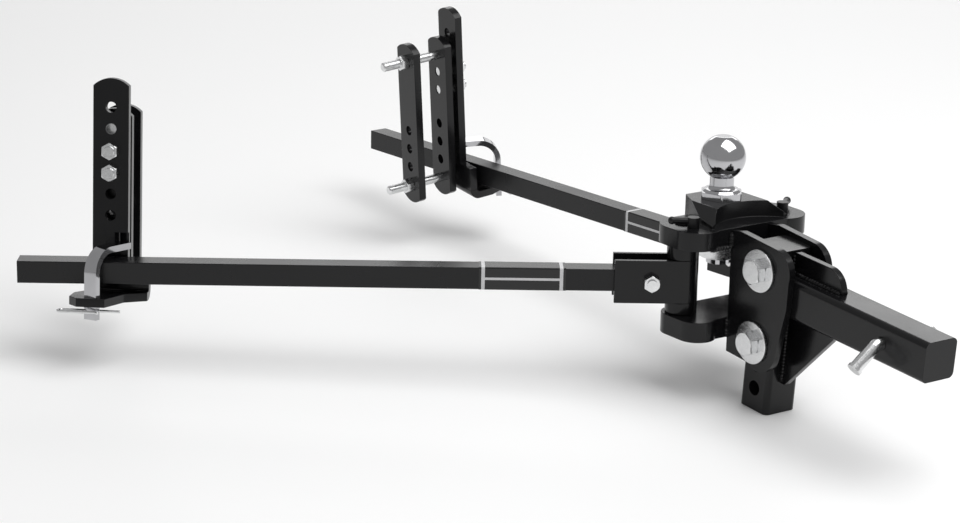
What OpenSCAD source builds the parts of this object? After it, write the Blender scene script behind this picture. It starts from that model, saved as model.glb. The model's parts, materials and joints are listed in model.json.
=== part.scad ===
// Weight distribution hitch: an adjustable drop shank, a tilting head with a ball, and two
// trunnion spring bars, each carrying a sway bracket that clamps on a trailer's A-frame.
// X points forward along the shank, Z is up, and the origin is the receiver pin's axis
// on the shank's centreline. The near side is -Y and the far side is +Y.

/* [Shank] */
// Width and height of the square shank and of the drop post
shank_w = 50.8; // [50.8:0.1:63.5]
// Corner radius of the shank and the post
shank_corner = 7.5; // [4:0.5:9]
// From the receiver pin's axis forward to the shank's end
shank_front = 73; // [60:1:90]
// From the receiver pin's axis back to the drop post's axis
pin_to_post = 210; // [190:1:240]
// Diameter of the receiver pin
receiver_pin_d = 15.9; // [12.7:0.1:15.9]

/* [Post] */
// Number of bolt holes in the post
post_holes = 6; // [5:1:8]
// Distance between the post's bolt holes
post_pitch = 31.75; // [31.75:0.05:32]
// Height of the uppermost hole above the shank's centreline
upper_hole_z = 24.6; // [22:0.1:28]
// Diameter of the two head bolts
head_bolt_d = 19.05; // [19.05:0.05:19.2]

/* [Head] */
// Backward tilt of the head as it is set
head_tilt = 4; // [1:0.5:7]
// Behind the post's axis, where the ball stands
ball_back = 121; // [118:1:125]
// Diameter of the ball
ball_d = 58.74; // [50.8:0.01:58.74]
// Height of the ball's centre above the upper head bolt
ball_z = 115; // [112:1:120]
// Behind the post's axis, where the trunnions stand
trunnion_back = 108; // [106:1:112]
// Sideways distance of each trunnion from the middle
trunnion_y = 70.4; // [68:0.1:74]
// Height of the spring bars' centreline above the upper head bolt
bar_z = -31.7; // [-33:0.1:-30]

/* [Spring bars] */
// Width and height of the square spring bars
bar_w = 28.6; // [28.6:0.1:29]
// Length from the trunnion's axis to the bar's free end
bar_l = 838; // [820:1:860]
// Swing of the near bar towards the near side, from straight back
near_swing = 56; // [45:1:60]
// Swing of the far bar, positive towards the near side
far_swing = 4; // [-10:1:6]

/* [Sway brackets] */
// Distance of the near bracket's middle from its trunnion
near_bracket_x = 727; // [710:1:740]
// Distance of the far bracket's middle from its trunnion
far_bracket_x = 614; // [600:1:680]
// Width of the bracket's plates
plate_w = 45.5; // [44:0.5:48]
// Thickness of the bracket's plates
plate_t = 11; // [9.5:0.1:11]
// Distance between the plates that clamp the trailer's frame
frame_gap = 41; // [41:1:60]

/* [Hidden] */
$fn = 64;

// Sides of the hitch
NEAR = -1;
FAR = 1;

// Gaps
part_gap = 0.3;
washer_gap = 0.2;
through = 1;
in_pin_hole = 0.25;

// Shank and post
shank_r = shank_w / 2;
post_z = [upper_hole_z - (post_holes - 1) * post_pitch - 29, upper_hole_z + 30.4];
post_hole_r = head_bolt_d / 2 + 0.08;
lower_bolt_z = -3 * post_pitch;
gusset_t = 9.5;
receiver_pin_y = [-29, 62];
receiver_pin_bend = 12;
receiver_pin_angle = 40;
receiver_pin_arm = 37;
receiver_pin_rim = 4;
receiver_clip_y = 54;

// Head, in the frame of the upper head bolt
side_t = 9.5;
side_in = shank_r + part_gap;
side_out = side_in + side_t;
column_back = -57;
slot_x = [-12, 0.4];
slot_gap = 0.5;
washer_t = 4.2;
washer_r = 27.4;
head_hex_r = 28.6 / sqrt(3);
head_hex_h = 12;
head_nut_h = 16.5;
ear_top = 41;
ear_bottom = 17;
low_ear_top = bar_z - 43.5;
low_ear_bottom = bar_z - 70;
platform_top = 62;
platform_x = [-158, -64];
front_wall_x = -92;
front_wall_r = 72;
ball_shank_r = 15.9;
pin_r = 12.7;
lever_x = -86;
lever_y = 74;
lever_turn = 54;
lever_boss_r = 7.5;
lever_boss_h = 13;
lever_arm_r = 4.2;
lever_arm_l = 27;
lever_pin_r = 3;

// Spring bar and strap, in the frame of the trunnion
bar_corner = 1.2;
strap_t = 6;
strap_in = bar_w / 2 + 0.1;
strap_out = strap_in + strap_t;
strap_h = 56;
strap_l = 87;
strap_bolt_x = 40;
half_inch_r = 6.35;
half_inch_hex_r = 19.05 / sqrt(3);
half_inch_nut_h = 11;

// Bracket, in its own frame on the bar: x along the bar, y outboard
bracket_y = -(bar_w / 2 + part_gap);
head_gap = 8;
angle_y = bracket_y - plate_t - head_gap;
link_y = angle_y - plate_t - frame_gap;
plate_top = 246;
plate_arc_r = 32;
plate_holes_z = [72, 99.5, 127, 154.5, 182, 209.5];
short_bolt_z = [127, 154.5];
link_holes_z = [19.5, 47.5, 75.5];
long_bolt_z = [-8.5, 180];
link_z = [-35, 206];
plate_hole_r = 6.9;
shelf_top = -23.6;
shelf_bottom = shelf_top - plate_t;
shelf_bend = 4;
shelf_y = 53;
foot_x = [-50, 24];
long_bolt_end = link_y - plate_t - half_inch_nut_h - 28;
l_pin_w = 18;
l_pin_t = 8;
l_pin_y = 43;
l_pin_z = [shelf_bottom - 17, 38];
l_pin_bend = 28;
l_pin_lift = 12;
l_pin_arm = 69;
clip_z = shelf_bottom - 6;
bolt_head_h = 7.5;
clip_r = 1.8;
clip_l = 36;

// The near bracket's pin stands behind its middle and the far one's ahead of it.
function pin_dx(side) = side == NEAR ? 10 : -16;
function pin_turn(side) = side == NEAR ? -24 : 24;
function swing(side) = side == NEAR ? near_swing : far_swing;
function bracket_x(side) = side == NEAR ? near_bracket_x : far_bracket_x;

// Each bracket stands a little askew on its bar: its sideways place and height there,
// and how far it is turned about its own z, x and y.
function bracket_yz(side) = side == NEAR ? [-6.1, -6] : [-5.1, 5.3];
function bracket_turn(side) = side == NEAR ? [-6, 6.5, 0] : [6, 6.5, -4.7];

// Frames

module on_post() {
    translate([-pin_to_post, 0, upper_hole_z]) children();
}

module on_head() {
    on_post() rotate([0, -head_tilt, 0]) children();
}

// The bar's frame: x runs back along the bar, y points outboard.
module on_bar(side) {
    on_head() translate([-trunnion_back, side * trunnion_y, bar_z])
        rotate([0, 0, 180 + swing(side)])
            mirror([0, side == FAR ? 1 : 0, 0]) children();
}

module on_bracket(side) {
    place = bracket_yz(side);
    turn = bracket_turn(side);
    on_bar(side) translate([bracket_x(side), place[0], place[1]])
        rotate([0, 0, turn[0]]) rotate([turn[1], turn[2], 0]) children();
}

// Shapes that repeat

module y_cylinder(r, y0, y1, fn = $fn) {
    translate([0, y0, 0]) rotate([-90, 0, 0]) cylinder(r = r, h = y1 - y0, $fn = fn);
}

module y_hex(r, y0, y1) {
    translate([0, y0, 0]) rotate([-90, 0, 0]) rotate([0, 0, 30]) cylinder(r = r, h = y1 - y0, $fn = 6);
}

// A hex whose corners are turned down by a cone at both ends
module y_nut(hex_r, bore_r, y0, y1) {
    difference() {
        intersection() {
            y_hex(hex_r, y0, y1);
            translate([0, y0, 0]) rotate([-90, 0, 0]) nut_cone(hex_r, y1 - y0);
        }
        if (bore_r > 0) y_cylinder(bore_r, y0 - through, y1 + through);
    }
}

module nut_cone(hex_r, h) {
    flat_r = hex_r * cos(30);
    rise = hex_r * 0.12;
    rotate_extrude() polygon([
        [0, 0], [flat_r, 0], [hex_r + 0.5, rise], [hex_r + 0.5, h - rise], [flat_r, h], [0, h]
    ]);
}

module y_ring(r, bore_r, y0, y1) {
    difference() {
        y_cylinder(r, y0, y1);
        y_cylinder(bore_r, y0 - through, y1 + through);
    }
}

module rounded_square(w, r) {
    square([w, w - 2 * r], center = true);
    square([w - 2 * r, w], center = true);
    for (x = [-1, 1], y = [-1, 1]) translate([x, y] * (w / 2 - r)) circle(r);
}

// An upright plate of the bracket: its face is in x and z, and y0 is its outboard side.
module upright(y0, t) {
    translate([0, y0, 0]) rotate([90, 0, 0]) linear_extrude(t) children();
}

// Shank

module shank_bar() {
    color("#1b1b1d") difference() {
        translate([shank_r - pin_to_post, 0, 0]) rotate([0, 90, 0])
            linear_extrude(pin_to_post - shank_r + shank_front) rounded_square(shank_w, shank_corner);
        y_cylinder(receiver_pin_d / 2 + in_pin_hole, -shank_r - through, shank_r + through);
    }
}

module drop_post() {
    color("#1b1b1d") difference() {
        translate([-pin_to_post, 0, post_z[0]])
            linear_extrude(post_z[1] - post_z[0]) rounded_square(shank_w, shank_corner);
        on_post() for (i = [0 : post_holes - 1]) translate([0, 0, -i * post_pitch])
            y_cylinder(post_hole_r, -shank_r - through, shank_r + through);
    }
}

module upper_gusset() {
    x0 = shank_r - pin_to_post;
    run = 90;
    rise = post_z[1] - shank_r - 2;
    color("#1b1b1d") upright(gusset_t / 2, gusset_t) translate([x0, shank_r]) {
        square([run - rise, rise]);
        intersection() {
            translate([run - rise, 0]) circle(rise);
            square([run, rise]);
        }
    }
}

module lower_gusset() {
    x0 = shank_r - pin_to_post;
    drop = 97;
    color("#1b1b1d") upright(gusset_t / 2, gusset_t)
        polygon([[x0, -shank_r], [x0 + 92, -shank_r], [x0 + 7, -shank_r - drop], [x0, -shank_r - drop]]);
}

module at_head_bolts() {
    on_post() for (z = [0, lower_bolt_z]) translate([0, 0, z]) children();
}

module head_bolts() {
    seat = side_out + washer_gap + washer_t;
    color("silver") at_head_bolts() {
        y_nut(head_hex_r, 0, -seat - head_hex_h, -seat);
        y_cylinder(head_bolt_d / 2, -seat - through, seat + head_nut_h + 7);
    }
}

module head_bolt_washers() {
    y0 = side_out + washer_gap;
    color("silver") at_head_bolts() {
        y_ring(washer_r, head_bolt_d / 2 + 0.05, -y0 - washer_t, -y0);
        y_ring(washer_r, head_bolt_d / 2 + 0.05, y0, y0 + washer_t);
    }
}

module head_bolt_nuts() {
    seat = side_out + washer_gap + washer_t;
    color("silver") at_head_bolts() y_nut(head_hex_r, head_bolt_d / 2, seat, seat + head_nut_h);
}

// The receiver pin leaves the shank on the near side and bends down.
module receiver_pin() {
    r = receiver_pin_d / 2;
    nose = 3;
    color("#2a2a2c") difference() {
        union() {
            y_cylinder(r, receiver_pin_y[0], receiver_pin_y[1] - nose);
            translate([0, receiver_pin_y[1] - nose, 0]) rotate([-90, 0, 0])
                cylinder(r1 = r, r2 = r - 2, h = nose);
            translate([0, receiver_pin_y[0], -receiver_pin_bend]) rotate([0, -90, 0]) receiver_pin_elbow(r);
        }
        translate([0, receiver_clip_y, 0]) rotate([0, 90, 0])
            cylinder(r = clip_r + 0.3, h = 4 * r, center = true);
    }
}

// A bend about the point below the pin's end, then the arm beyond it
module receiver_pin_elbow(r) {
    rotate([0, 0, -receiver_pin_angle]) rotate_extrude(angle = receiver_pin_angle)
        translate([receiver_pin_bend, 0]) circle(r * 0.999);
    rotate([0, 0, -receiver_pin_angle]) translate([receiver_pin_bend, 0, 0]) rotate([90, 0, 0])
        cylinder(r = r, h = receiver_pin_arm);
    rotate([0, 0, -receiver_pin_angle])
        translate([receiver_pin_bend, receiver_pin_rim - receiver_pin_arm, 0]) rotate([90, 0, 0])
            cylinder(r = r + 1.2, h = receiver_pin_rim);
}

// A hairpin clip: a straight leg along x, a round eye and a second leg with a flared tip.
// The clip's flat is in x and z, with the second leg below the first.
module hairpin(l, r, eye_r) {
    flare_r = 12;
    reach = 3 * eye_r;
    eye_x = (l + reach) / 2;
    second_l = l * 0.7;
    rotate([0, 90, 0]) cylinder(r = r, h = l + reach, center = true, $fn = 24);
    translate([eye_x, 0, -eye_r]) rotate([90, 0, 0]) rotate([0, 0, -90])
        rotate_extrude(angle = 180) translate([eye_r, 0]) circle(r, $fn = 24);
    translate([eye_x - second_l, 0, -2 * eye_r]) rotate([0, 90, 0]) cylinder(r = r, h = second_l, $fn = 24);
    translate([eye_x - second_l, 0, -2 * eye_r - flare_r]) rotate([90, 0, 0]) rotate([0, 0, 90])
        rotate_extrude(angle = 50) translate([flare_r, 0]) circle(r, $fn = 24);
}

module receiver_pin_clip() {
    color("silver") translate([0, receiver_clip_y, 0]) hairpin(30, clip_r, 6);
}

// Head

module ears(r, ahead, z0, z1) {
    x0 = column_back - r + ahead;
    for (side = [NEAR, FAR]) {
        for (x = [-trunnion_back, x0]) translate([x, side * trunnion_y, z0]) cylinder(r = r, h = z1 - z0);
        translate([-trunnion_back, side * trunnion_y - r, z0]) cube([x0 + trunnion_back, 2 * r, z1 - z0]);
    }
    translate([-trunnion_back - r, -trunnion_y, z0])
        cube([column_back + trunnion_back + r, 2 * trunnion_y, z1 - z0]);
}

module trunnion_bores(z0, z1) {
    for (side = [NEAR, FAR]) translate([-trunnion_back, side * trunnion_y, z0 - through])
        cylinder(r = pin_r + 0.06, h = z1 - z0 + 2 * through);
}

module head_top_plate() {
    color("#1b1b1d") on_head() difference() {
        union() {
            ears(31, 4, ear_bottom, ear_top);
            pedestal();
        }
        translate([-ball_back, 0, 0]) cylinder(r = ball_shank_r + 0.1, h = platform_top + through);
        trunnion_bores(ear_bottom, platform_top);
        for (side = [NEAR, FAR]) translate([lever_x, side * lever_y, ear_top - 12])
            cylinder(r = lever_pin_r + 0.1, h = platform_top);
        lever_clearance();
    }
}

// The raised seat of the ball: sloping sides, and a front wall that curves in between them
module pedestal() {
    difference() {
        intersection() {
            translate([0, 0, ear_bottom + 2]) linear_extrude(platform_top - ear_bottom - 2) polygon([
                [platform_x[0], -28], [platform_x[0] + 20, -38], [-96, -56], [platform_x[1], -62],
                [platform_x[1], 62], [-96, 56], [platform_x[0] + 20, 38], [platform_x[0], 28]
            ]);
            translate([platform_x[0], 0, 0]) rotate([90, 0, 90])
                linear_extrude(platform_x[1] - platform_x[0]) polygon([
                    [-66, ear_bottom], [-66, ear_top], [-42, platform_top],
                    [42, platform_top], [66, ear_top], [66, ear_bottom]
                ]);
        }
        translate([front_wall_x + front_wall_r, 0, ear_top])
            cylinder(r = front_wall_r, h = platform_top, $fn = 128);
    }
}

// Room on both sides of the platform for the levers to turn
module lever_clearance() {
    for (side = [NEAR, FAR]) translate([lever_x, side * lever_y, ear_top])
        cylinder(r = lever_boss_r + 3, h = platform_top);
}

module side_plate(side) {
    y0 = side == NEAR ? -side_in : side_out;
    slot_r = head_bolt_d / 2 + slot_gap;
    color("#1b1b1d") on_head() difference() {
        union() {
            upright(y0, side_t) polygon([
                [column_back, 38], [-38, 41], [27, 34], [50, 15], [53, 3], [51, -38],
                [34, -104], [6, -118], [-14, -124], [column_back, -120]
            ]);
            translate([25, 0, 5]) y_cylinder(29, y0 - side_t, y0);
            translate([4, 0, -101]) y_cylinder(30, y0 - side_t, y0);
        }
        y_cylinder(head_bolt_d / 2 + 0.08, y0 - side_t - through, y0 + through);
        for (x = slot_x) translate([x, 0, lower_bolt_z + 0.35])
            y_cylinder(slot_r, y0 - side_t - through, y0 + through);
        translate([slot_x[0], y0 - side_t - through, lower_bolt_z + 0.35 - slot_r])
            cube([slot_x[1] - slot_x[0], side_t + 2 * through, 2 * slot_r]);
    }
}

module near_side_plate() {
    side_plate(NEAR);
}

module far_side_plate() {
    side_plate(FAR);
}

module head_back_plate() {
    color("#1b1b1d") on_head() translate([column_back, -side_in, low_ear_bottom])
        cube([12, 2 * side_in, ear_bottom - low_ear_bottom]);
}

module lower_ear_plate() {
    color("#1b1b1d") on_head() difference() {
        ears(25, 6, low_ear_bottom, low_ear_top);
        trunnion_bores(low_ear_bottom, low_ear_top);
    }
}

module hitch_ball() {
    r = ball_d / 2;
    flat_z = r - 1.6;
    flat_r = sqrt(r * r - flat_z * flat_z);
    neck_r = 15.6;
    neck_z = -sqrt(r * r - neck_r * neck_r);
    base = platform_top - ball_z;
    shank_end = ear_bottom - ball_z - 40;
    flange_hex_r = 50.8 / sqrt(3);
    color("silver") on_head() translate([-ball_back, 0, ball_z]) {
        rotate_extrude() difference() {
            union() {
                intersection() {
                    circle(r, $fn = 128);
                    translate([0, neck_z]) square([r + 1, flat_z - neck_z]);
                }
                translate([0, base + 12]) square([neck_r, neck_z - base - 12 + 1]);
                translate([0, base + 12]) difference() {
                    square([neck_r + 6, 6]);
                    translate([neck_r + 6, 6]) circle(6);
                }
                polygon([[0, base], [25, base], [25, base + 9], [22, base + 12.2], [0, base + 12.2]]);
                translate([0, shank_end]) square([ball_shank_r, base - shank_end + 0.5]);
            }
            translate([-r, -2 * r - 60]) square([r, 4 * r + 100]);
        }
        translate([0, 0, base]) intersection() {
            rotate([0, 0, 20]) cylinder(r = flange_hex_r, h = 9, $fn = 6);
            cylinder(r = 28.4, h = 9);
        }
    }
}

module ball_lock_washer() {
    color("silver") on_head() translate([-ball_back, 0, ear_bottom - 5]) difference() {
        cylinder(r = 25, h = 5);
        translate([0, 0, -through]) cylinder(r = ball_shank_r + 0.1, h = 5 + 2 * through);
        translate([0, -0.8, -through]) cube([30, 1.6, 5 + 2 * through]);
    }
}

module ball_nut() {
    hex_r = 47.6 / sqrt(3);
    h = 27;
    color("silver") on_head() translate([-ball_back, 0, ear_bottom - 5 - h]) difference() {
        intersection() {
            cylinder(r = hex_r, h = h, $fn = 6);
            nut_cone(hex_r, h);
        }
        translate([0, 0, -through]) cylinder(r = ball_shank_r, h = h + 2 * through);
    }
}

// A lever that turns over the end of the trunnion pin and holds it down
module retaining_lever(side) {
    color("#141414") on_head() translate([lever_x, side * lever_y, ear_top + part_gap]) {
        cylinder(r = lever_boss_r, h = lever_boss_h);
        translate([0, 0, -10]) cylinder(r = lever_pin_r, h = 11);
        translate([0, 0, lever_boss_h - 5]) rotate([0, 0, 180 + side * -lever_turn]) rotate([0, 90, 0])
            cylinder(r = lever_arm_r, h = lever_arm_l, $fn = 32);
        translate([0, 0, lever_boss_h - 5]) rotate([0, 0, 180 + side * -lever_turn])
            translate([lever_arm_l, 0, 0]) sphere(r = lever_arm_r + 0.8, $fn = 32);
    }
}

module near_retaining_lever() {
    retaining_lever(NEAR);
}

module far_retaining_lever() {
    retaining_lever(FAR);
}

// Spring bar, the same on both sides

module trunnion_pin(side) {
    z0 = low_ear_bottom - bar_z - 4;
    z1 = ear_top - bar_z + 3;
    color("#1b1b1d") on_bar(side) {
        translate([0, 0, z0]) cylinder(r = pin_r, h = z1 - z0 - 1.5);
        translate([0, 0, z1 - 1.5]) cylinder(r1 = pin_r, r2 = pin_r - 1.5, h = 1.5);
    }
}

// Collars above and below the strap keep the bar at its height between the ears.
module trunnion_collars(side) {
    top = ear_bottom - bar_z - part_gap;
    bottom = low_ear_top - bar_z + part_gap;
    color("#1b1b1d") on_bar(side) difference() {
        union() {
            translate([0, 0, strap_h / 2]) cylinder(r = strap_out, h = top - strap_h / 2);
            translate([0, 0, bottom]) cylinder(r = strap_out, h = -strap_h / 2 - bottom);
        }
        translate([0, 0, bottom - through]) cylinder(r = pin_r, h = top - bottom + 2 * through);
    }
}

module trunnion_strap(side) {
    color("#1b1b1d") on_bar(side) difference() {
        translate([0, 0, -strap_h / 2]) linear_extrude(strap_h) {
            difference() {
                circle(strap_out);
                circle(pin_r);
                translate([0, -strap_out]) square([strap_out, 2 * strap_out]);
            }
            for (s = [-1, 1]) translate([0, s < 0 ? -strap_out : strap_in]) square([strap_l, strap_t]);
            difference() {
                translate([0, -strap_in]) square([strap_in, 2 * strap_in]);
                circle(pin_r);
            }
        }
        translate([strap_bolt_x, 0, 0])
            y_cylinder(half_inch_r + 0.1, -strap_out - through, strap_out + through);
    }
}

module spring_bar(side) {
    x0 = strap_in;
    color("#1b1b1d") on_bar(side) difference() {
        translate([x0, 0, 0]) rotate([0, 90, 0]) linear_extrude(bar_l - x0) rounded_square(bar_w, bar_corner);
        translate([strap_bolt_x, 0, 0]) y_cylinder(half_inch_r + 0.1, -bar_w, bar_w);
    }
}

module strap_bolt(side) {
    color("silver") on_bar(side) translate([strap_bolt_x, 0, 0]) {
        y_nut(half_inch_hex_r, 0, -strap_out - 8, -strap_out);
        y_cylinder(half_inch_r, -strap_out - through, strap_out + half_inch_nut_h + 4);
    }
}

module strap_nut(side) {
    color("silver") on_bar(side) translate([strap_bolt_x, 0, 0])
        y_nut(half_inch_hex_r, half_inch_r, strap_out, strap_out + half_inch_nut_h);
}

module near_trunnion_pin() {
    trunnion_pin(NEAR);
}

module far_trunnion_pin() {
    trunnion_pin(FAR);
}

module near_trunnion_collars() {
    trunnion_collars(NEAR);
}

module far_trunnion_collars() {
    trunnion_collars(FAR);
}

module near_trunnion_strap() {
    trunnion_strap(NEAR);
}

module far_trunnion_strap() {
    trunnion_strap(FAR);
}

module near_spring_bar() {
    spring_bar(NEAR);
}

module far_spring_bar() {
    spring_bar(FAR);
}

module near_strap_bolt() {
    strap_bolt(NEAR);
}

module far_strap_bolt() {
    strap_bolt(FAR);
}

module near_strap_nut() {
    strap_nut(NEAR);
}

module far_strap_nut() {
    strap_nut(FAR);
}

// Sway bracket, the same on both sides but for the L-pin's place

// A plate of the bracket with a shallow arc at its top, and one at its foot where asked
module arc_plate(z0, z1, foot_arc) {
    intersection() {
        translate([-plate_w / 2, z0]) square([plate_w, z1 - z0]);
        translate([0, z1 - plate_arc_r]) union() {
            circle(plate_arc_r);
            translate([-plate_w, z0 - z1]) square([2 * plate_w, z1 - z0]);
        }
        if (foot_arc) translate([0, z0 + plate_arc_r]) union() {
            circle(plate_arc_r);
            translate([-plate_w, 0]) square([2 * plate_w, z1 - z0]);
        }
    }
}

module face_holes(heights, r) {
    for (z = heights) translate([0, z]) circle(r);
}

// The L-bracket's upright plate, with the foot that stands wider along the bar
module l_bracket(side) {
    bend_z = shelf_top + shelf_bend;
    color("#1b1b1d") on_bracket(side) difference() {
        upright(bracket_y, plate_t) difference() {
            union() {
                arc_plate(bend_z, plate_top, false);
                translate([foot_x[0], bend_z]) square([foot_x[1] - foot_x[0], bar_w / 2 - bend_z]);
            }
            face_holes(plate_holes_z, plate_hole_r);
        }
        l_pin_slot(side);
    }
}

// The L-bracket's shelf under the bar, with the bend that joins it to the upright plate
module l_shelf(side) {
    dx = pin_dx(side);
    nose = 14;
    color("#1b1b1d") on_bracket(side) difference() {
        union() {
            translate([0, 0, shelf_bottom]) linear_extrude(plate_t) polygon([
                [foot_x[0], bracket_y + shelf_bend], [foot_x[1], bracket_y + shelf_bend],
                [dx + 30, 12], [dx + 30, shelf_y - nose], [dx + 18, shelf_y],
                [dx - 18, shelf_y], [dx - 34, 12], [foot_x[0], -5]
            ]);
            translate([foot_x[0], bracket_y + shelf_bend, shelf_top + shelf_bend]) rotate([90, 0, 90])
                linear_extrude(foot_x[1] - foot_x[0]) intersection() {
                    difference() {
                        circle(shelf_bend + plate_t);
                        circle(shelf_bend);
                    }
                    translate([-2 * plate_t, -2 * plate_t]) square(2 * plate_t);
                }
        }
        l_pin_slot(side);
    }
}

module l_pin_slot(side) {
    translate([pin_dx(side), l_pin_y, 0]) rotate([0, 0, pin_turn(side)]) l_pin_shape(0.5, l_pin_lift);
}

// The L-pin's shape with a margin all round, and room above its arm where it lifts.
// Its leg stands on the z axis and its arm runs to -y.
module l_pin_shape(margin, lift) {
    t = l_pin_t / 2 + margin;
    w = l_pin_w + 2 * margin;
    arm_z = l_pin_z[1] - l_pin_t / 2;
    arm_l = l_pin_arm;
    translate([-w / 2, 0, 0]) rotate([90, 0, 90]) linear_extrude(w) {
        translate([-t, l_pin_z[0] - margin * 10])
            square([2 * t, arm_z - l_pin_bend - l_pin_z[0] + margin * 10]);
        translate([-l_pin_bend, arm_z - l_pin_bend]) intersection() {
            difference() {
                circle(l_pin_bend + t);
                circle(l_pin_bend - t);
            }
            square(2 * l_pin_bend);
        }
        translate([-arm_l - margin * 6, arm_z - t]) square([arm_l - l_pin_bend + margin * 6, 2 * t + lift]);
    }
}

module l_pin(side) {
    color("silver") on_bracket(side) translate([pin_dx(side), l_pin_y, 0]) difference() {
        rotate([0, 0, pin_turn(side)]) l_pin_shape(0, 0);
        translate([0, 0, clip_z]) rotate([0, 90, 0])
            cylinder(r = clip_r + 0.2, h = 4 * l_pin_w, center = true);
    }
}

module l_pin_clip(side) {
    color("silver") on_bracket(side) translate([pin_dx(side), l_pin_y, clip_z]) rotate([90, 0, 0])
        hairpin(2 * clip_l - 18, clip_r, 6);
}

module angle_plate(side) {
    color("#1b1b1d") on_bracket(side) upright(angle_y, plate_t) difference() {
        arc_plate(link_z[0], link_z[1], true);
        face_holes(link_holes_z, plate_hole_r);
        face_holes(short_bolt_z, half_inch_r);
        face_holes(long_bolt_z, half_inch_r);
    }
}

module short_bolts(side) {
    color("silver") on_bracket(side) for (z = short_bolt_z) translate([0, 0, z]) {
        y_nut(half_inch_hex_r, 0, angle_y, angle_y + head_gap);
        y_cylinder(half_inch_r, angle_y - plate_t + 1, bracket_y + half_inch_nut_h + 4);
    }
}

module short_nuts(side) {
    color("silver") on_bracket(side) for (z = short_bolt_z) translate([0, 0, z])
        y_nut(half_inch_hex_r, half_inch_r, bracket_y, bracket_y + half_inch_nut_h);
}

module long_bolts(side) {
    color("silver") on_bracket(side) for (z = long_bolt_z) translate([0, 0, z]) {
        y_nut(half_inch_hex_r, 0, angle_y, angle_y + bolt_head_h);
        y_cylinder(half_inch_r, long_bolt_end + 1.5, angle_y + 1);
        translate([0, long_bolt_end, 0]) rotate([-90, 0, 0])
            cylinder(r1 = half_inch_r - 1.5, r2 = half_inch_r, h = 1.5);
    }
}

module link_plate(side) {
    color("#1b1b1d") on_bracket(side) upright(link_y, plate_t) difference() {
        arc_plate(link_z[0], link_z[1], true);
        face_holes(link_holes_z, plate_hole_r);
        face_holes(long_bolt_z, half_inch_r + 0.4);
    }
}

module long_nuts(side) {
    seat = link_y - plate_t;
    color("silver") on_bracket(side) for (z = long_bolt_z) translate([0, 0, z])
        y_nut(half_inch_hex_r, half_inch_r + part_gap, seat - half_inch_nut_h, seat);
}

module near_l_bracket() {
    l_bracket(NEAR);
}

module far_l_bracket() {
    l_bracket(FAR);
}

module near_l_shelf() {
    l_shelf(NEAR);
}

module near_angle_plate() {
    angle_plate(NEAR);
}

module far_l_shelf() {
    l_shelf(FAR);
}

module far_angle_plate() {
    angle_plate(FAR);
}

module near_short_bolts() {
    short_bolts(NEAR);
}

module far_short_bolts() {
    short_bolts(FAR);
}

module near_short_nuts() {
    short_nuts(NEAR);
}

module far_short_nuts() {
    short_nuts(FAR);
}

module near_long_bolts() {
    long_bolts(NEAR);
}

module far_long_bolts() {
    long_bolts(FAR);
}

module near_long_nuts() {
    long_nuts(NEAR);
}

module far_long_nuts() {
    long_nuts(FAR);
}

module near_link_plate() {
    link_plate(NEAR);
}

module far_link_plate() {
    link_plate(FAR);
}

module near_l_pin() {
    l_pin(NEAR);
}

module far_l_pin() {
    l_pin(FAR);
}

module near_l_pin_clip() {
    l_pin_clip(NEAR);
}

module far_l_pin_clip() {
    l_pin_clip(FAR);
}

shank_bar();
drop_post();
upper_gusset();
lower_gusset();
head_bolts();
head_bolt_washers();
head_bolt_nuts();
receiver_pin();
receiver_pin_clip();
head_top_plate();
near_side_plate();
far_side_plate();
head_back_plate();
lower_ear_plate();
hitch_ball();
ball_lock_washer();
ball_nut();
near_retaining_lever();
far_retaining_lever();
near_trunnion_pin();
near_trunnion_collars();
near_trunnion_strap();
near_spring_bar();
near_strap_bolt();
near_strap_nut();
near_l_bracket();
near_l_shelf();
near_angle_plate();
near_short_bolts();
near_short_nuts();
near_long_bolts();
near_long_nuts();
near_link_plate();
near_l_pin();
near_l_pin_clip();
far_trunnion_pin();
far_trunnion_collars();
far_trunnion_strap();
far_spring_bar();
far_strap_bolt();
far_strap_nut();
far_l_bracket();
far_l_shelf();
far_angle_plate();
far_short_bolts();
far_short_nuts();
far_long_bolts();
far_long_nuts();
far_link_plate();
far_l_pin();
far_l_pin_clip();
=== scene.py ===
"""Weight distribution hitch: coat, plating, welds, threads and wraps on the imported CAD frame."""

import json
import math
import random

import bmesh
import bpy
from bpy.props import FloatProperty, FloatVectorProperty, IntProperty, PointerProperty
from bpy.types import Operator, Panel, PropertyGroup
from mathutils import Matrix, Vector


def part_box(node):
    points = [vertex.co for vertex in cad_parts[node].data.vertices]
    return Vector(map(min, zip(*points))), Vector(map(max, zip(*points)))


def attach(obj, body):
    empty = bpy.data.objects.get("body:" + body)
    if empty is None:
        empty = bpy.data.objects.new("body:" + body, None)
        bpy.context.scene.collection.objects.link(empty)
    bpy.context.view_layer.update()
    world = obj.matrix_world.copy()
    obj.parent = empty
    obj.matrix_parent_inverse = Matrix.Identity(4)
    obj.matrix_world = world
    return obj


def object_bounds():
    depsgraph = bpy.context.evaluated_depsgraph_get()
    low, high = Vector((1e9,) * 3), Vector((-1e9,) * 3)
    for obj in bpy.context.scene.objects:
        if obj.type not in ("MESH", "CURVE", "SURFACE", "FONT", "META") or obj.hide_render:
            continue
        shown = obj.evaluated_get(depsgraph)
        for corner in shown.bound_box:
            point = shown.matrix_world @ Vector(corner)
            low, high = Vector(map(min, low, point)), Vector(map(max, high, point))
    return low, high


bl_info = {
    "name": "Weight Distribution Hitch",
    "version": (1, 0, 0),
    "blender": (4, 5, 0),
    "location": "View3D > Sidebar > Hitch",
    "description": "Finishes a trunnion-bar hitch with coat, plating, welds, threads and wraps",
    "category": "Object",
}

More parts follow.
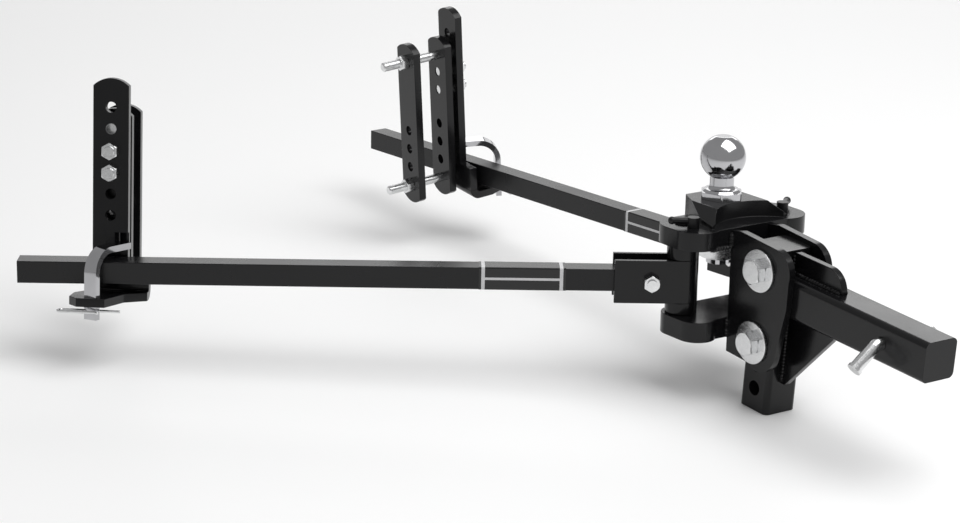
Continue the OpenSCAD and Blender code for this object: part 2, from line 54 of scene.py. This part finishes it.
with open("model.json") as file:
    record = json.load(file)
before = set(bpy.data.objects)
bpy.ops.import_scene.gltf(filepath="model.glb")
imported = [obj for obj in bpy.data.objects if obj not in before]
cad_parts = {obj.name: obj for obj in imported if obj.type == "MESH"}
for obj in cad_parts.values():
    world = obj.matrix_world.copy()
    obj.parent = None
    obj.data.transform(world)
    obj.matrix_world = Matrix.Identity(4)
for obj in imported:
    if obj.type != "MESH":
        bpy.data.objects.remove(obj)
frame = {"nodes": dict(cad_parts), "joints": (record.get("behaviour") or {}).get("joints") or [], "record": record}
CAD_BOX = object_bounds()
JOINTS = {j["name"]: j for j in frame["joints"]}
MOUNTS = {m["name"]: m for m in frame["record"]["mounts"]}
SLOTS = {s["node"]: s["material_slot"] for s in frame["record"]["subparts"]}
SIDES = {"near": -1, "far": 1}
MM = 0.001

# Sizes in mm that the added pieces share with the steel parts
SHANK_CORNER = 7.5
HEAD_PLATE_X = -57
HEAD_PLATE_OUTER, HEAD_PLATE_INNER = 35.2, 25.7
BAR_WIDTH = 28.6
BOLT_RADIUS = 6.35
UPPER_HOLE = (0, -20.1, 209.5)
LONG_BOLTS_Z, LONG_THREAD_Y = (-8.5, 180), (-134, -58)
SHORT_BOLTS_Z, SHORT_THREAD_Y = (127, 154.5), (-3.4, 0.1)


# Frames of the moving groups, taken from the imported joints

def axes(x, y, z, origin):
    """Matrix whose columns are the three directions and the origin."""
    m = Matrix((x, y, z)).transposed().to_4x4()
    m.translation = origin
    return m


def bar_frame(side):
    """Frame of a spring bar: x runs back along the bar, y points outboard."""
    x = Vector(JOINTS[side + "_bracket_slide"]["axis"])
    z = Vector(JOINTS[side + "_bar_swing"]["axis"])
    return axes(x, -SIDES[side] * z.cross(x), z, Vector(JOINTS[side + "_bar_swing"]["pos_m"]))


def bracket_frame(side):
    """Frame of a sway bracket, found from the hole that its mount names."""
    names = ("_l_clip_slide", "_link_clamp", "_l_pin_lift")
    x, y, z = (Vector(JOINTS[side + name]["axis"]) for name in names)
    hole = axes(x, y, z, Vector(MOUNTS[side + "_upper_height_hole"]["pos_m"]))
    return hole @ Matrix.Translation(-MM * Vector(UPPER_HOLE))


def head_frame():
    """Frame of the head at the upper head bolt: z follows the ball's axis."""
    z = Vector(JOINTS["near_bar_swing"]["axis"])
    y = Vector((0, 1, 0))
    return axes(y.cross(z), y, z, Vector(JOINTS["head_tilt"]["pos_m"]))


def ball_frame():
    """Frame of the ball at its centre."""
    m = head_frame()
    m.translation = Vector(MOUNTS["coupler_ball"]["pos_m"])
    return m


# Sizes and colours

class HITCH_PG_finish(PropertyGroup):
    coat_colour: FloatVectorProperty(
        name="Coat", description="Colour of the powder coat",
        default=(0.0045, 0.0045, 0.005), size=3, subtype="COLOR", min=0, max=1)
    coat_roughness: FloatProperty(
        name="Coat roughness", description="How soft the coat's reflections are",
        default=0.2, min=0, max=1)
    bar_colour: FloatVectorProperty(
        name="Bar coat", description="Colour of the spring bars' coat",
        default=(0.0065, 0.0065, 0.007), size=3, subtype="COLOR", min=0, max=1)
    zinc_colour: FloatVectorProperty(
        name="Zinc", description="Colour of the zinc-plated bolts, nuts and pins",
        default=(0.74, 0.745, 0.75), size=3, subtype="COLOR", min=0, max=1)
    chrome_colour: FloatVectorProperty(
        name="Chrome", description="Colour of the ball and the L-pins",
        default=(0.50, 0.50, 0.515), size=3, subtype="COLOR", min=0, max=1)
    edge_radius: FloatProperty(
        name="Edge radius", description="Radius of the coated edges of the plates",
        default=0.0008, min=0.0002, max=0.002, unit="LENGTH")
    edge_steps: IntProperty(
        name="Edge steps", description="Faces across each rounded edge", default=2, min=1, max=4)
    weld_radius: FloatProperty(
        name="Weld", description="Radius of the weld beads",
        default=0.0042, min=0.001, max=0.006, unit="LENGTH")
    weld_pitch: FloatProperty(
        name="Weld ripple", description="Length of one ripple of a weld bead",
        default=0.0045, min=0.002, max=0.01, unit="LENGTH")
    thread_pitch: FloatProperty(
        name="Thread pitch", description="Distance between the threads of the half-inch bolts",
        default=0.00195, min=0.001, max=0.004, unit="LENGTH")
    wrap_start: FloatProperty(
        name="Wrap start", description="From the trunnion to the start of each bar's vinyl wrap",
        default=0.148, min=0.1, max=0.3, unit="LENGTH")
    wrap_length: FloatProperty(
        name="Wrap length", description="Length of the vinyl wrap along the bar",
        default=0.110, min=0.03, max=0.2, unit="LENGTH")
    stripe_colour: FloatVectorProperty(
        name="Stripes", description="Colour of the wrap's plain stripes",
        default=(0.55, 0.55, 0.56), size=3, subtype="COLOR", min=0, max=1)


class HITCH_PG_stage(PropertyGroup):
    floor_colour: FloatVectorProperty(
        name="Floor", description="Colour of the floor", default=(0.94, 0.94, 0.94),
        size=3, subtype="COLOR", min=0, max=1)
    key_power: FloatProperty(
        name="Key light", description="A third of the high softbox's power",
        default=32, min=0, unit="POWER")
    rim_power: FloatProperty(
        name="Rim light", description="Power of the low softbox behind the hitch",
        default=14, min=0, unit="POWER")
    fill: FloatProperty(
        name="Fill", description="Strength of the even light from all around",
        default=0.42, min=0)


# Materials

def material(name, roughness, metallic=0.0, specular=0.5):
    """A new Principled material: returns it with its node tree and its shader."""
    m = bpy.data.materials.new(name)
    m.use_nodes = True
    tree = m.node_tree
    shader = tree.nodes["Principled BSDF"]
    shader.inputs["Roughness"].default_value = roughness
    shader.inputs["Metallic"].default_value = metallic
    shader.inputs["Specular IOR Level"].default_value = specular
    return m, tree, shader


def node(tree, kind, **values):
    """A node with its properties and unlinked inputs set by name."""
    n = tree.nodes.new(kind)
    for key, value in values.items():
        if hasattr(n, key):
            setattr(n, key, value)
        else:
            n.inputs[key.replace("_", " ")].default_value = value
    return n


def object_coordinates(tree, place=None, stretch=(1, 1, 1)):
    """Object coordinates, moved into a piece's own frame and stretched."""
    coordinate = node(tree, "ShaderNodeTexCoord")
    mapping = node(tree, "ShaderNodeMapping", vector_type="POINT")
    tree.links.new(coordinate.outputs["Object"], mapping.inputs["Vector"])
    if place is not None:
        inverse = place.inverted()
        mapping.inputs["Location"].default_value = inverse.translation
        mapping.inputs["Rotation"].default_value = inverse.to_euler()
    last = mapping
    if stretch != (1, 1, 1):
        last = node(tree, "ShaderNodeMapping", vector_type="POINT")
        last.inputs["Scale"].default_value = stretch
        tree.links.new(mapping.outputs["Vector"], last.inputs["Vector"])
    return last.outputs["Vector"]


def noise(tree, vector, scale, detail=3.0, roughness=0.5):
    n = node(tree, "ShaderNodeTexNoise", Scale=scale, Detail=detail, Roughness=roughness)
    tree.links.new(vector, n.inputs["Vector"])
    return n.outputs["Fac"]


def spread(tree, factor, lo, hi):
    """The middle of a noise, 0.3 to 0.7, spread over lo to hi."""
    n = node(tree, "ShaderNodeMapRange", From_Min=0.3, From_Max=0.7, To_Min=lo, To_Max=hi)
    tree.links.new(factor, n.inputs["Value"])
    return n.outputs["Result"]


def blend_colours(tree, factor, first, second):
    n = node(tree, "ShaderNodeMix", data_type="RGBA")
    ends = (s for s in n.inputs if s.type == "RGBA")
    for end, colour in zip(ends, (first, second)):
        end.default_value = (*colour, 1)
    tree.links.new(factor, n.inputs["Factor"])
    return next(s for s in n.outputs if s.type == "RGBA")


def bump(tree, shader, height, strength, distance):
    n = node(tree, "ShaderNodeBump", Strength=strength, Distance=distance)
    tree.links.new(height, n.inputs["Height"])
    tree.links.new(n.outputs["Normal"], shader.inputs["Normal"])


def scaled(colour, k):
    return tuple(min(1.0, c * k) for c in colour)


def vary(tree, shader, tint, colour, dark, light, gloss, lo, hi):
    """Colour from dark to light times itself by one noise, roughness by another."""
    mixed = blend_colours(tree, tint, scaled(colour, dark), scaled(colour, light))
    tree.links.new(mixed, shader.inputs["Base Color"])
    tree.links.new(spread(tree, gloss, lo, hi), shader.inputs["Roughness"])


def coat_material(name, colour, roughness, peel=0.10, specular=0.3):
    """Gloss coat baked on steel: orange peel, soft drifts of gloss and a trace of dust."""
    m, tree, shader = material(name, roughness, 0.0, specular)
    place = object_coordinates(tree)
    drift = noise(tree, place, 9.0, 4.0)
    grain = noise(tree, place, 420.0, 2.0)
    vary(tree, shader, drift, colour, 0.7, 1.5, drift, roughness * 0.8, roughness * 1.35)
    bump(tree, shader, grain, peel, 0.0003)
    return m


def zinc_material(name, colour):
    """Bright zinc plate: cloudy brightness and fine wiped scratches."""
    m, tree, shader = material(name, 0.22, 1.0)
    place = object_coordinates(tree)
    cloud = noise(tree, place, 140.0, 5.0, 0.6)
    wipe = noise(tree, object_coordinates(tree, None, (1, 1, 9)), 260.0, 3.0)
    vary(tree, shader, cloud, colour, 0.86, 1.1, wipe, 0.14, 0.30)
    bump(tree, shader, wipe, 0.08, 0.0002)
    return m


def chrome_material(name, colour, place=None):
    """Polished chrome with faint turning marks and a few cloudy prints."""
    m, tree, shader = material(name, 0.07, 1.0)
    where = object_coordinates(tree, place)
    cloud = noise(tree, where, 34.0, 4.0, 0.6)
    turn = noise(tree, object_coordinates(tree, place, (0.6, 0.6, 40)), 55.0, 2.0)
    vary(tree, shader, cloud, colour, 0.86, 1.08, cloud, 0.04, 0.13)
    bump(tree, shader, turn, 0.05, 0.0001)
    return m


def vinyl_material(name, colour, roughness):
    """Printed vinyl: an even gloss with a faint wrinkle and rubbed spots."""
    m, tree, shader = material(name, roughness, 0.0, 0.45)
    place = object_coordinates(tree)
    rub = noise(tree, place, 90.0, 5.0, 0.65)
    wrinkle = noise(tree, place, 24.0, 2.0)
    vary(tree, shader, rub, colour, 0.85, 1.15, rub, roughness * 0.7, roughness * 1.5)
    bump(tree, shader, wrinkle, 0.15, 0.0004)
    return m


MATERIALS = {}


def make_materials(finish):
    coat, bar = tuple(finish.coat_colour), tuple(finish.bar_colour)
    zinc, chrome = tuple(finish.zinc_colour), tuple(finish.chrome_colour)
    rough = finish.coat_roughness
    MATERIALS.update({
        "black_powder_coat": coat_material("Gloss powder coat", coat, rough),
        "black_bar_coat": coat_material("Spring bar coat", bar, rough * 1.2, 0.06),
        "black_lever": coat_material("Lever coat", coat, rough * 1.6, 0.12),
        "weld": coat_material("Coated weld", scaled(coat, 0.8), rough * 0.9, 0.05),
        "zinc": zinc_material("Zinc plate", zinc),
        "chrome": chrome_material("Chrome", chrome),
        "ball": chrome_material("Ball chrome", chrome, ball_frame()),
        "wrap": vinyl_material("Vinyl wrap", (0.006, 0.006, 0.0065), 0.12),
        "stripe": vinyl_material("Vinyl stripe", tuple(finish.stripe_colour), 0.2),
    })


# Pieces

def give_material(obj, *names):
    """Sets the object's materials. Clearing an empty list would still reset its faces."""
    if obj.data.materials:
        obj.data.materials.clear()
    for name in names:
        obj.data.materials.append(MATERIALS[name])


def round_edges(obj, width, steps):
    """Weld, flatten and round the sharp edges of a CAD node with modifiers."""
    weld = obj.modifiers.new("Weld", "WELD")
    weld.merge_threshold = 1e-5
    flat = obj.modifiers.new("Flat faces", "DECIMATE")
    flat.decimate_type = "DISSOLVE"
    flat.angle_limit = math.radians(0.4)
    edge = obj.modifiers.new("Edge", "BEVEL")
    edge.width = width
    edge.segments = steps
    edge.limit_method = "ANGLE"
    edge.angle_limit = math.radians(32)
    edge.use_clamp_overlap = True
    edge.loop_slide = False
    edge.miter_outer = "MITER_ARC"
    shade = obj.modifiers.new("Shade", "WEIGHTED_NORMAL")
    shade.mode = "FACE_AREA"
    shade.weight = 50


def add_piece(name, bm, body, slot, *materials):
    """Turns a bmesh into an object that rides on a body."""
    bmesh.ops.recalc_face_normals(bm, faces=bm.faces)
    mesh = bpy.data.meshes.new(name)
    bm.to_mesh(mesh)
    bm.free()
    obj = bpy.data.objects.new(name, mesh)
    bpy.context.scene.collection.objects.link(obj)
    give_material(obj, *materials)
    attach(obj, body)


def along(points, step):
    """The polyline's points resampled every step or so."""
    out = [points[0]]
    for a, b in zip(points, points[1:]):
        n = max(1, round((b - a).length / step))
        out += [a.lerp(b, (i + 1) / n) for i in range(n)]
    return out


def square_to(direction, origin):
    """Frame at the origin whose z follows the direction."""
    m = direction.to_track_quat("Z", "Y").to_matrix().to_4x4()
    m.translation = origin
    return m


def bead(bm, points, radius, pitch, rng, closed=False):
    """A rippled round bead swept along the points, capped or joined to its start."""
    path = along(points + points[:1] if closed else points, pitch / 4)
    if closed:
        path.pop()
    count = len(path)
    verts = bmesh.ops.create_circle(bm, segments=10, radius=1.0)["verts"]
    first = edges = list({e for v in verts for e in v.link_edges})
    place = Matrix.Identity(4)
    for i, point in enumerate(path):
        ahead = path[(i + 1) % count] if closed or i < count - 1 else point
        behind = path[i - 1] if closed or i > 0 else point
        swell = 1 + 0.16 * math.sin(math.tau * i / 4) + rng.uniform(-0.05, 0.05)
        size = radius * swell * (1.0 if closed or 0 < i < count - 1 else 0.6)
        target = square_to(ahead - behind, point) @ Matrix.Scale(size, 4)
        if i > 0:
            ring = bmesh.ops.extrude_edge_only(bm, edges=edges)["geom"]
            verts = [g for g in ring if isinstance(g, bmesh.types.BMVert)]
            edges = [g for g in ring if isinstance(g, bmesh.types.BMEdge)]
        bmesh.ops.transform(bm, matrix=target @ place.inverted(), verts=verts)
        place = target
    if closed:
        bmesh.ops.bridge_loops(bm, edges=first + edges)
    else:
        bmesh.ops.holes_fill(bm, edges=first + edges, sides=0)


class HITCH_OT_steel(Operator):
    """Gives every CAD node its finish and rounds its edges"""
    bl_idname = "hitch.steel"
    bl_label = "Finish the steel parts"

    def execute(self, context):
        finish = context.scene.hitch_finish
        make_materials(finish)
        for name, obj in frame["nodes"].items():
            give_material(obj, "ball" if name == "hitch_ball" else SLOTS[name])
            round_edges(obj, finish.edge_radius, finish.edge_steps)
        return {"FINISHED"}


class HITCH_OT_welds(Operator):
    """Weld beads round the shank's end, along the gussets and down the head's corners"""
    bl_idname = "hitch.welds"
    bl_label = "Weld beads"

    def execute(self, context):
        finish = context.scene.hitch_finish
        r, pitch = finish.weld_radius, finish.weld_pitch
        rng = random.Random(4)
        lo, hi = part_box("shank_bar")
        x, w = lo.x + r * 0.2, hi.y
        corner = SHANK_CORNER * MM
        ring = []
        for turn in range(4):
            for step in range(5):
                a = math.radians(90 * turn + 22.5 * step)
                middle = Vector((0, w - corner, w - corner))
                middle.rotate(Matrix.Rotation(math.radians(90 * turn), 3, "X"))
                ring.append(middle + Vector((x, corner * math.cos(a), corner * math.sin(a))))
        bm = bmesh.new()
        bead(bm, ring, r, pitch, rng, closed=True)
        up_lo, up_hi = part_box("upper_gusset")
        down_lo, down_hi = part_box("lower_gusset")
        for y in (up_lo.y, up_hi.y):
            for tip_x, root_z, tip_z in (
                (up_hi.x - 2 * MM, w, up_hi.z - 2 * MM),
                (down_hi.x - 3 * MM, -w, down_lo.z + 3 * MM),
            ):
                path = [Vector((tip_x, y, root_z)), Vector((x, y, root_z)), Vector((x, y, tip_z))]
                bead(bm, path, r * 0.8, pitch, rng)
        add_piece("shank_welds", bm, "shank", "black_powder_coat", "weld")
        head = head_frame()
        x, outer, inner = HEAD_PLATE_X, HEAD_PLATE_OUTER, HEAD_PLATE_INNER
        bm = bmesh.new()
        for side in SIDES.values():
            for start, end, size in (
                ((x, outer, 18), (x, outer, 37), 1.0),
                ((x, outer, -101), (x, outer, -76), 1.0),
                ((x, inner, -74), (x, inner, 16), 1.0),
                ((x + 0.5, 36, 17), (x + 0.5, 69, 17), 0.7),
            ):
                path = [head @ (MM * Vector((a, side * b, c))) for a, b, c in (start, end)]
                bead(bm, path, r * size, pitch, rng)
        add_piece("head_welds", bm, "head", "black_powder_coat", "weld")
        return {"FINISHED"}


def thread(bm, place, start, end, radius, pitch):
    """Rolled threads round a bolt along y of its frame, from start to end."""
    root, crest = radius - 0.1 * MM, radius + 0.24 * MM
    count = max(2, round((end - start) / pitch))
    step = (end - start) / count
    verts = []
    for i in range(count):
        for share, r in ((0.0, root), (0.35, crest), (0.6, crest)):
            verts.append(bm.verts.new((r, start + (i + share) * step, 0)))
    verts.append(bm.verts.new((root, end, 0)))
    edges = [bm.edges.new(pair) for pair in zip(verts, verts[1:])]
    bmesh.ops.spin(
        bm, geom=verts + edges, cent=(0, 0, 0), axis=(0, 1, 0),
        angle=math.tau, steps=32, use_merge=True)
    bmesh.ops.transform(bm, matrix=place, verts=[v for v in bm.verts if not v.tag])
    for v in bm.verts:
        v.tag = True


class HITCH_OT_threads(Operator):
    """Threads on the long clamping bolts and on the ends of the short bolts"""
    bl_idname = "hitch.threads"
    bl_label = "Bolt threads"

    def execute(self, context):
        pitch = context.scene.hitch_finish.thread_pitch
        for side in SIDES:
            place = bracket_frame(side)
            bm = bmesh.new()
            for heights, (start, end) in (
                (LONG_BOLTS_Z, LONG_THREAD_Y), (SHORT_BOLTS_Z, SHORT_THREAD_Y),
            ):
                for z in heights:
                    at = place @ Matrix.Translation((0, 0, z * MM))
                    thread(bm, at, start * MM, end * MM, BOLT_RADIUS * MM, pitch)
            add_piece(side + "_bolt_threads", bm, side + "_bracket", "zinc", "zinc")
        return {"FINISHED"}


class HITCH_OT_wraps(Operator):
    """A plain striped vinyl wrap round each spring bar"""
    bl_idname = "hitch.wraps"
    bl_label = "Vinyl wraps"

    def execute(self, context):
        finish = context.scene.hitch_finish
        length = finish.wrap_length
        width = (BAR_WIDTH + 0.5) * MM
        bands = (0.03, 0.07, 0.93, 0.97)
        line = 1.6 * MM
        eighth_turn = Matrix.Rotation(math.radians(45), 3, "Z")
        along_bar = Matrix.Rotation(math.radians(90), 4, "Y")
        cuts = [((0, 0, length * share), (0, 0, 1)) for share in bands]
        cuts += [((x, 0, 0), (1, 0, 0)) for x in (-line, line)]
        for side in SIDES:
            bm = bmesh.new()
            ring = bmesh.ops.create_circle(bm, segments=4, radius=width / math.sqrt(2))["verts"]
            bmesh.ops.rotate(bm, verts=ring, cent=(0, 0, 0), matrix=eighth_turn)
            bmesh.ops.bevel(
                bm, geom=ring, offset=1.3 * MM, segments=2, profile=0.5,
                affect="VERTICES", material=-1)
            wall = bmesh.ops.extrude_edge_only(bm, edges=bm.edges[:])["geom"]
            far_end = [g for g in wall if isinstance(g, bmesh.types.BMVert)]
            bmesh.ops.translate(bm, verts=far_end, vec=(0, 0, length))
            for point, normal in cuts:
                bmesh.ops.bisect_plane(
                    bm, geom=bm.verts[:] + bm.edges[:] + bm.faces[:],
                    plane_co=point, plane_no=normal)
            bmesh.ops.solidify(bm, geom=bm.faces[:], thickness=0.2 * MM)
            for f in bm.faces:
                centre = f.calc_center_median()
                share = centre.z / length
                band = bands[0] < share < bands[1] or bands[2] < share < bands[3]
                stripe = abs(centre.x) < line and bands[1] < share < bands[2]
                f.material_index = int(band or stripe)
            start = Matrix.Translation((finish.wrap_start, 0, 0))
            bmesh.ops.transform(
                bm, matrix=bar_frame(side) @ start @ along_bar, verts=bm.verts)
            add_piece(side + "_bar_wrap", bm, side + "_bar", "black_bar_coat", "wrap", "stripe")
        return {"FINISHED"}


# Stage

def area_light(name, place, target, width, height, power):
    data = bpy.data.lights.new(name, "AREA")
    data.shape = "RECTANGLE"
    data.size, data.size_y = width, height
    data.energy = power
    light = bpy.data.objects.new(name, data)
    light.location = place
    light.rotation_mode = "QUATERNION"
    light.rotation_quaternion = (Vector(target) - Vector(place)).to_track_quat("-Z", "Y")
    bpy.context.scene.collection.objects.link(light)


def camera(azimuth, elevation, roll, distance, target, lens, shift):
    """A long lens looking at the target from the near front."""
    a, e, r = (math.radians(v) for v in (azimuth, elevation, roll))
    back = Vector((math.cos(e) * math.cos(a), -math.cos(e) * math.sin(a), math.sin(e)))
    right = Vector((0, 0, 1)).cross(back).normalized()
    up = back.cross(right)
    right, up = math.cos(r) * right + math.sin(r) * up, math.cos(r) * up - math.sin(r) * right
    data = bpy.data.cameras.new("Camera")
    data.sensor_width = 36
    data.lens = lens
    data.shift_x, data.shift_y = shift
    data.clip_start, data.clip_end = 0.05, 60
    cam = bpy.data.objects.new("Camera", data)
    cam.matrix_world = axes(right, up, back, Vector(target) + back * distance)
    bpy.context.scene.collection.objects.link(cam)
    bpy.context.scene.camera = cam


class HITCH_OT_stage(Operator):
    """Floor, soft studio lights and the camera"""
    bl_idname = "hitch.stage"
    bl_label = "Set the stage"

    def execute(self, context):
        stage = context.scene.hitch_stage
        middle = Vector((-0.5, 0, 0))
        bm = bmesh.new()
        bmesh.ops.create_grid(bm, x_segments=2, y_segments=2, size=9)
        bmesh.ops.translate(bm, verts=bm.verts, vec=(middle.x, 0, CAD_BOX[0].z - 0.5 * MM))
        mesh = bpy.data.meshes.new("Floor")
        bm.to_mesh(mesh)
        bm.free()
        floor = bpy.data.objects.new("Floor", mesh)
        context.scene.collection.objects.link(floor)
        m, _, shader = material("Floor paper", 0.6, 0.0, 0.2)
        shader.inputs["Base Color"].default_value = (*stage.floor_colour, 1)
        mesh.materials.append(m)
        area_light("Key", (0.6, 0.5, 3.0), middle, 3.0, 3.0, stage.key_power * 3)
        area_light("Rim", (-3.6, 2.5, 1.75), middle, 4.2, 1.0, stage.rim_power * 2)
        area_light("Back", (-4.4, 3.1, 0.75), middle, 5.5, 1.2, stage.rim_power)
        world = bpy.data.worlds.new("Studio")
        world.use_nodes = True
        sky = world.node_tree.nodes["Background"]
        sky.inputs["Color"].default_value = (1, 1, 1, 1)
        sky.inputs["Strength"].default_value = stage.fill
        context.scene.world = world
        context.scene.view_settings.view_transform = "Standard"
        camera(
            azimuth=36.158, elevation=19.440, roll=3.6605, distance=3.75041,
            target=(-0.84535, 0, -0.17996), lens=96.162, shift=(-0.00062, 0.00383))
        return {"FINISHED"}


class HITCH_PT_panel(Panel):
    """Sizes, colours and the steps that finish the hitch"""
    bl_label = "Hitch"
    bl_idname = "HITCH_PT_panel"
    bl_space_type = "VIEW_3D"
    bl_region_type = "UI"
    bl_category = "Hitch"

    def draw(self, context):
        layout = self.layout
        for group in (context.scene.hitch_finish, context.scene.hitch_stage):
            for name in group.__annotations__:
                layout.prop(group, name)
        for step in STEPS:
            layout.operator(step.bl_idname)


STEPS = (HITCH_OT_steel, HITCH_OT_welds, HITCH_OT_threads, HITCH_OT_wraps, HITCH_OT_stage)
GROUPS = (HITCH_PG_finish, HITCH_PG_stage)
CLASSES = (*GROUPS, *STEPS, HITCH_PT_panel)


def register():
    for c in CLASSES:
        bpy.utils.register_class(c)
    bpy.types.Scene.hitch_finish = PointerProperty(type=HITCH_PG_finish)
    bpy.types.Scene.hitch_stage = PointerProperty(type=HITCH_PG_stage)


def unregister():
    del bpy.types.Scene.hitch_finish
    del bpy.types.Scene.hitch_stage
    for c in reversed(CLASSES):
        bpy.utils.unregister_class(c)


def main():
    register()
    bpy.ops.hitch.steel()
    bpy.ops.hitch.welds()
    bpy.ops.hitch.threads()
    bpy.ops.hitch.wraps()
    bpy.ops.hitch.stage()


if __name__ == "__main__":
    main()
